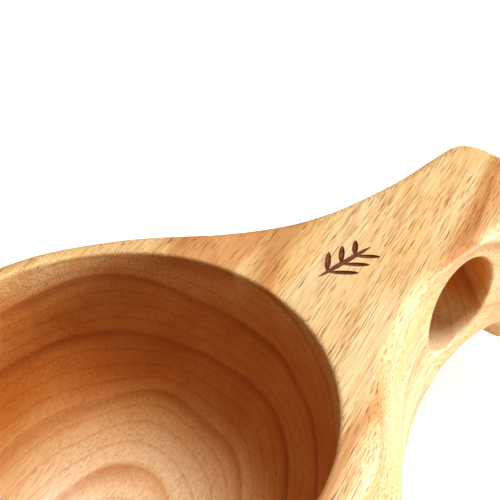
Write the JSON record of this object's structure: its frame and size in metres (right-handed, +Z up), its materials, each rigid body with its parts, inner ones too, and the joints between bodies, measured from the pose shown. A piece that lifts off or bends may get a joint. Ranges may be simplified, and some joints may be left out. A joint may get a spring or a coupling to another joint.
{
  "type": "wooden cup",
  "caption": "Carved wooden kuksa cup: round bowl on a flat foot, with a level handle that has a sideways finger hole, a finger rest and a tail.",
  "frame": {"origin": "centre of the flat foot, on the bowl's axis", "axes": "+Z up through the bowl's mouth, +X from the bowl towards the handle's tail"},
  "size_m": [0.1715, 0.104, 0.061],
  "materials": {
    "wood": "finely sanded and oiled, satin"
  },
  "bodies": {
    "root": {"bowl": "wood", "handle": "wood"}
  },
  "joints": []
}
